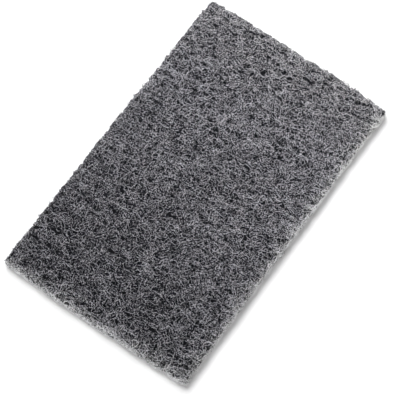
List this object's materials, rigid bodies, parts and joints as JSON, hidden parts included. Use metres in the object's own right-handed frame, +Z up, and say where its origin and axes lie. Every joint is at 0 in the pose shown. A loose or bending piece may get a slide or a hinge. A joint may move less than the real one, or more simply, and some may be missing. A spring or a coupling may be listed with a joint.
{
  "type": "abrasive hand pad",
  "caption": "Flat rectangular non-woven abrasive hand pad: an open, springy grey fibre web with soft rims, rounded corners and paler cut sides, for scuffing and cleaning by hand.",
  "frame": {"origin": "middle of the pad's outline, on the surface it lies on", "axes": "+Y along the pad's long side, +X along its short side, +Z up through its thickness"},
  "size_m": [0.1476, 0.2394, 0.01],
  "materials": {
    "abrasive_web": "matt grey non-woven fibre web, open and gritty, paler on the cut sides"
  },
  "bodies": {
    "root": {"abrasive_pad": "abrasive_web"}
  },
  "joints": []
}
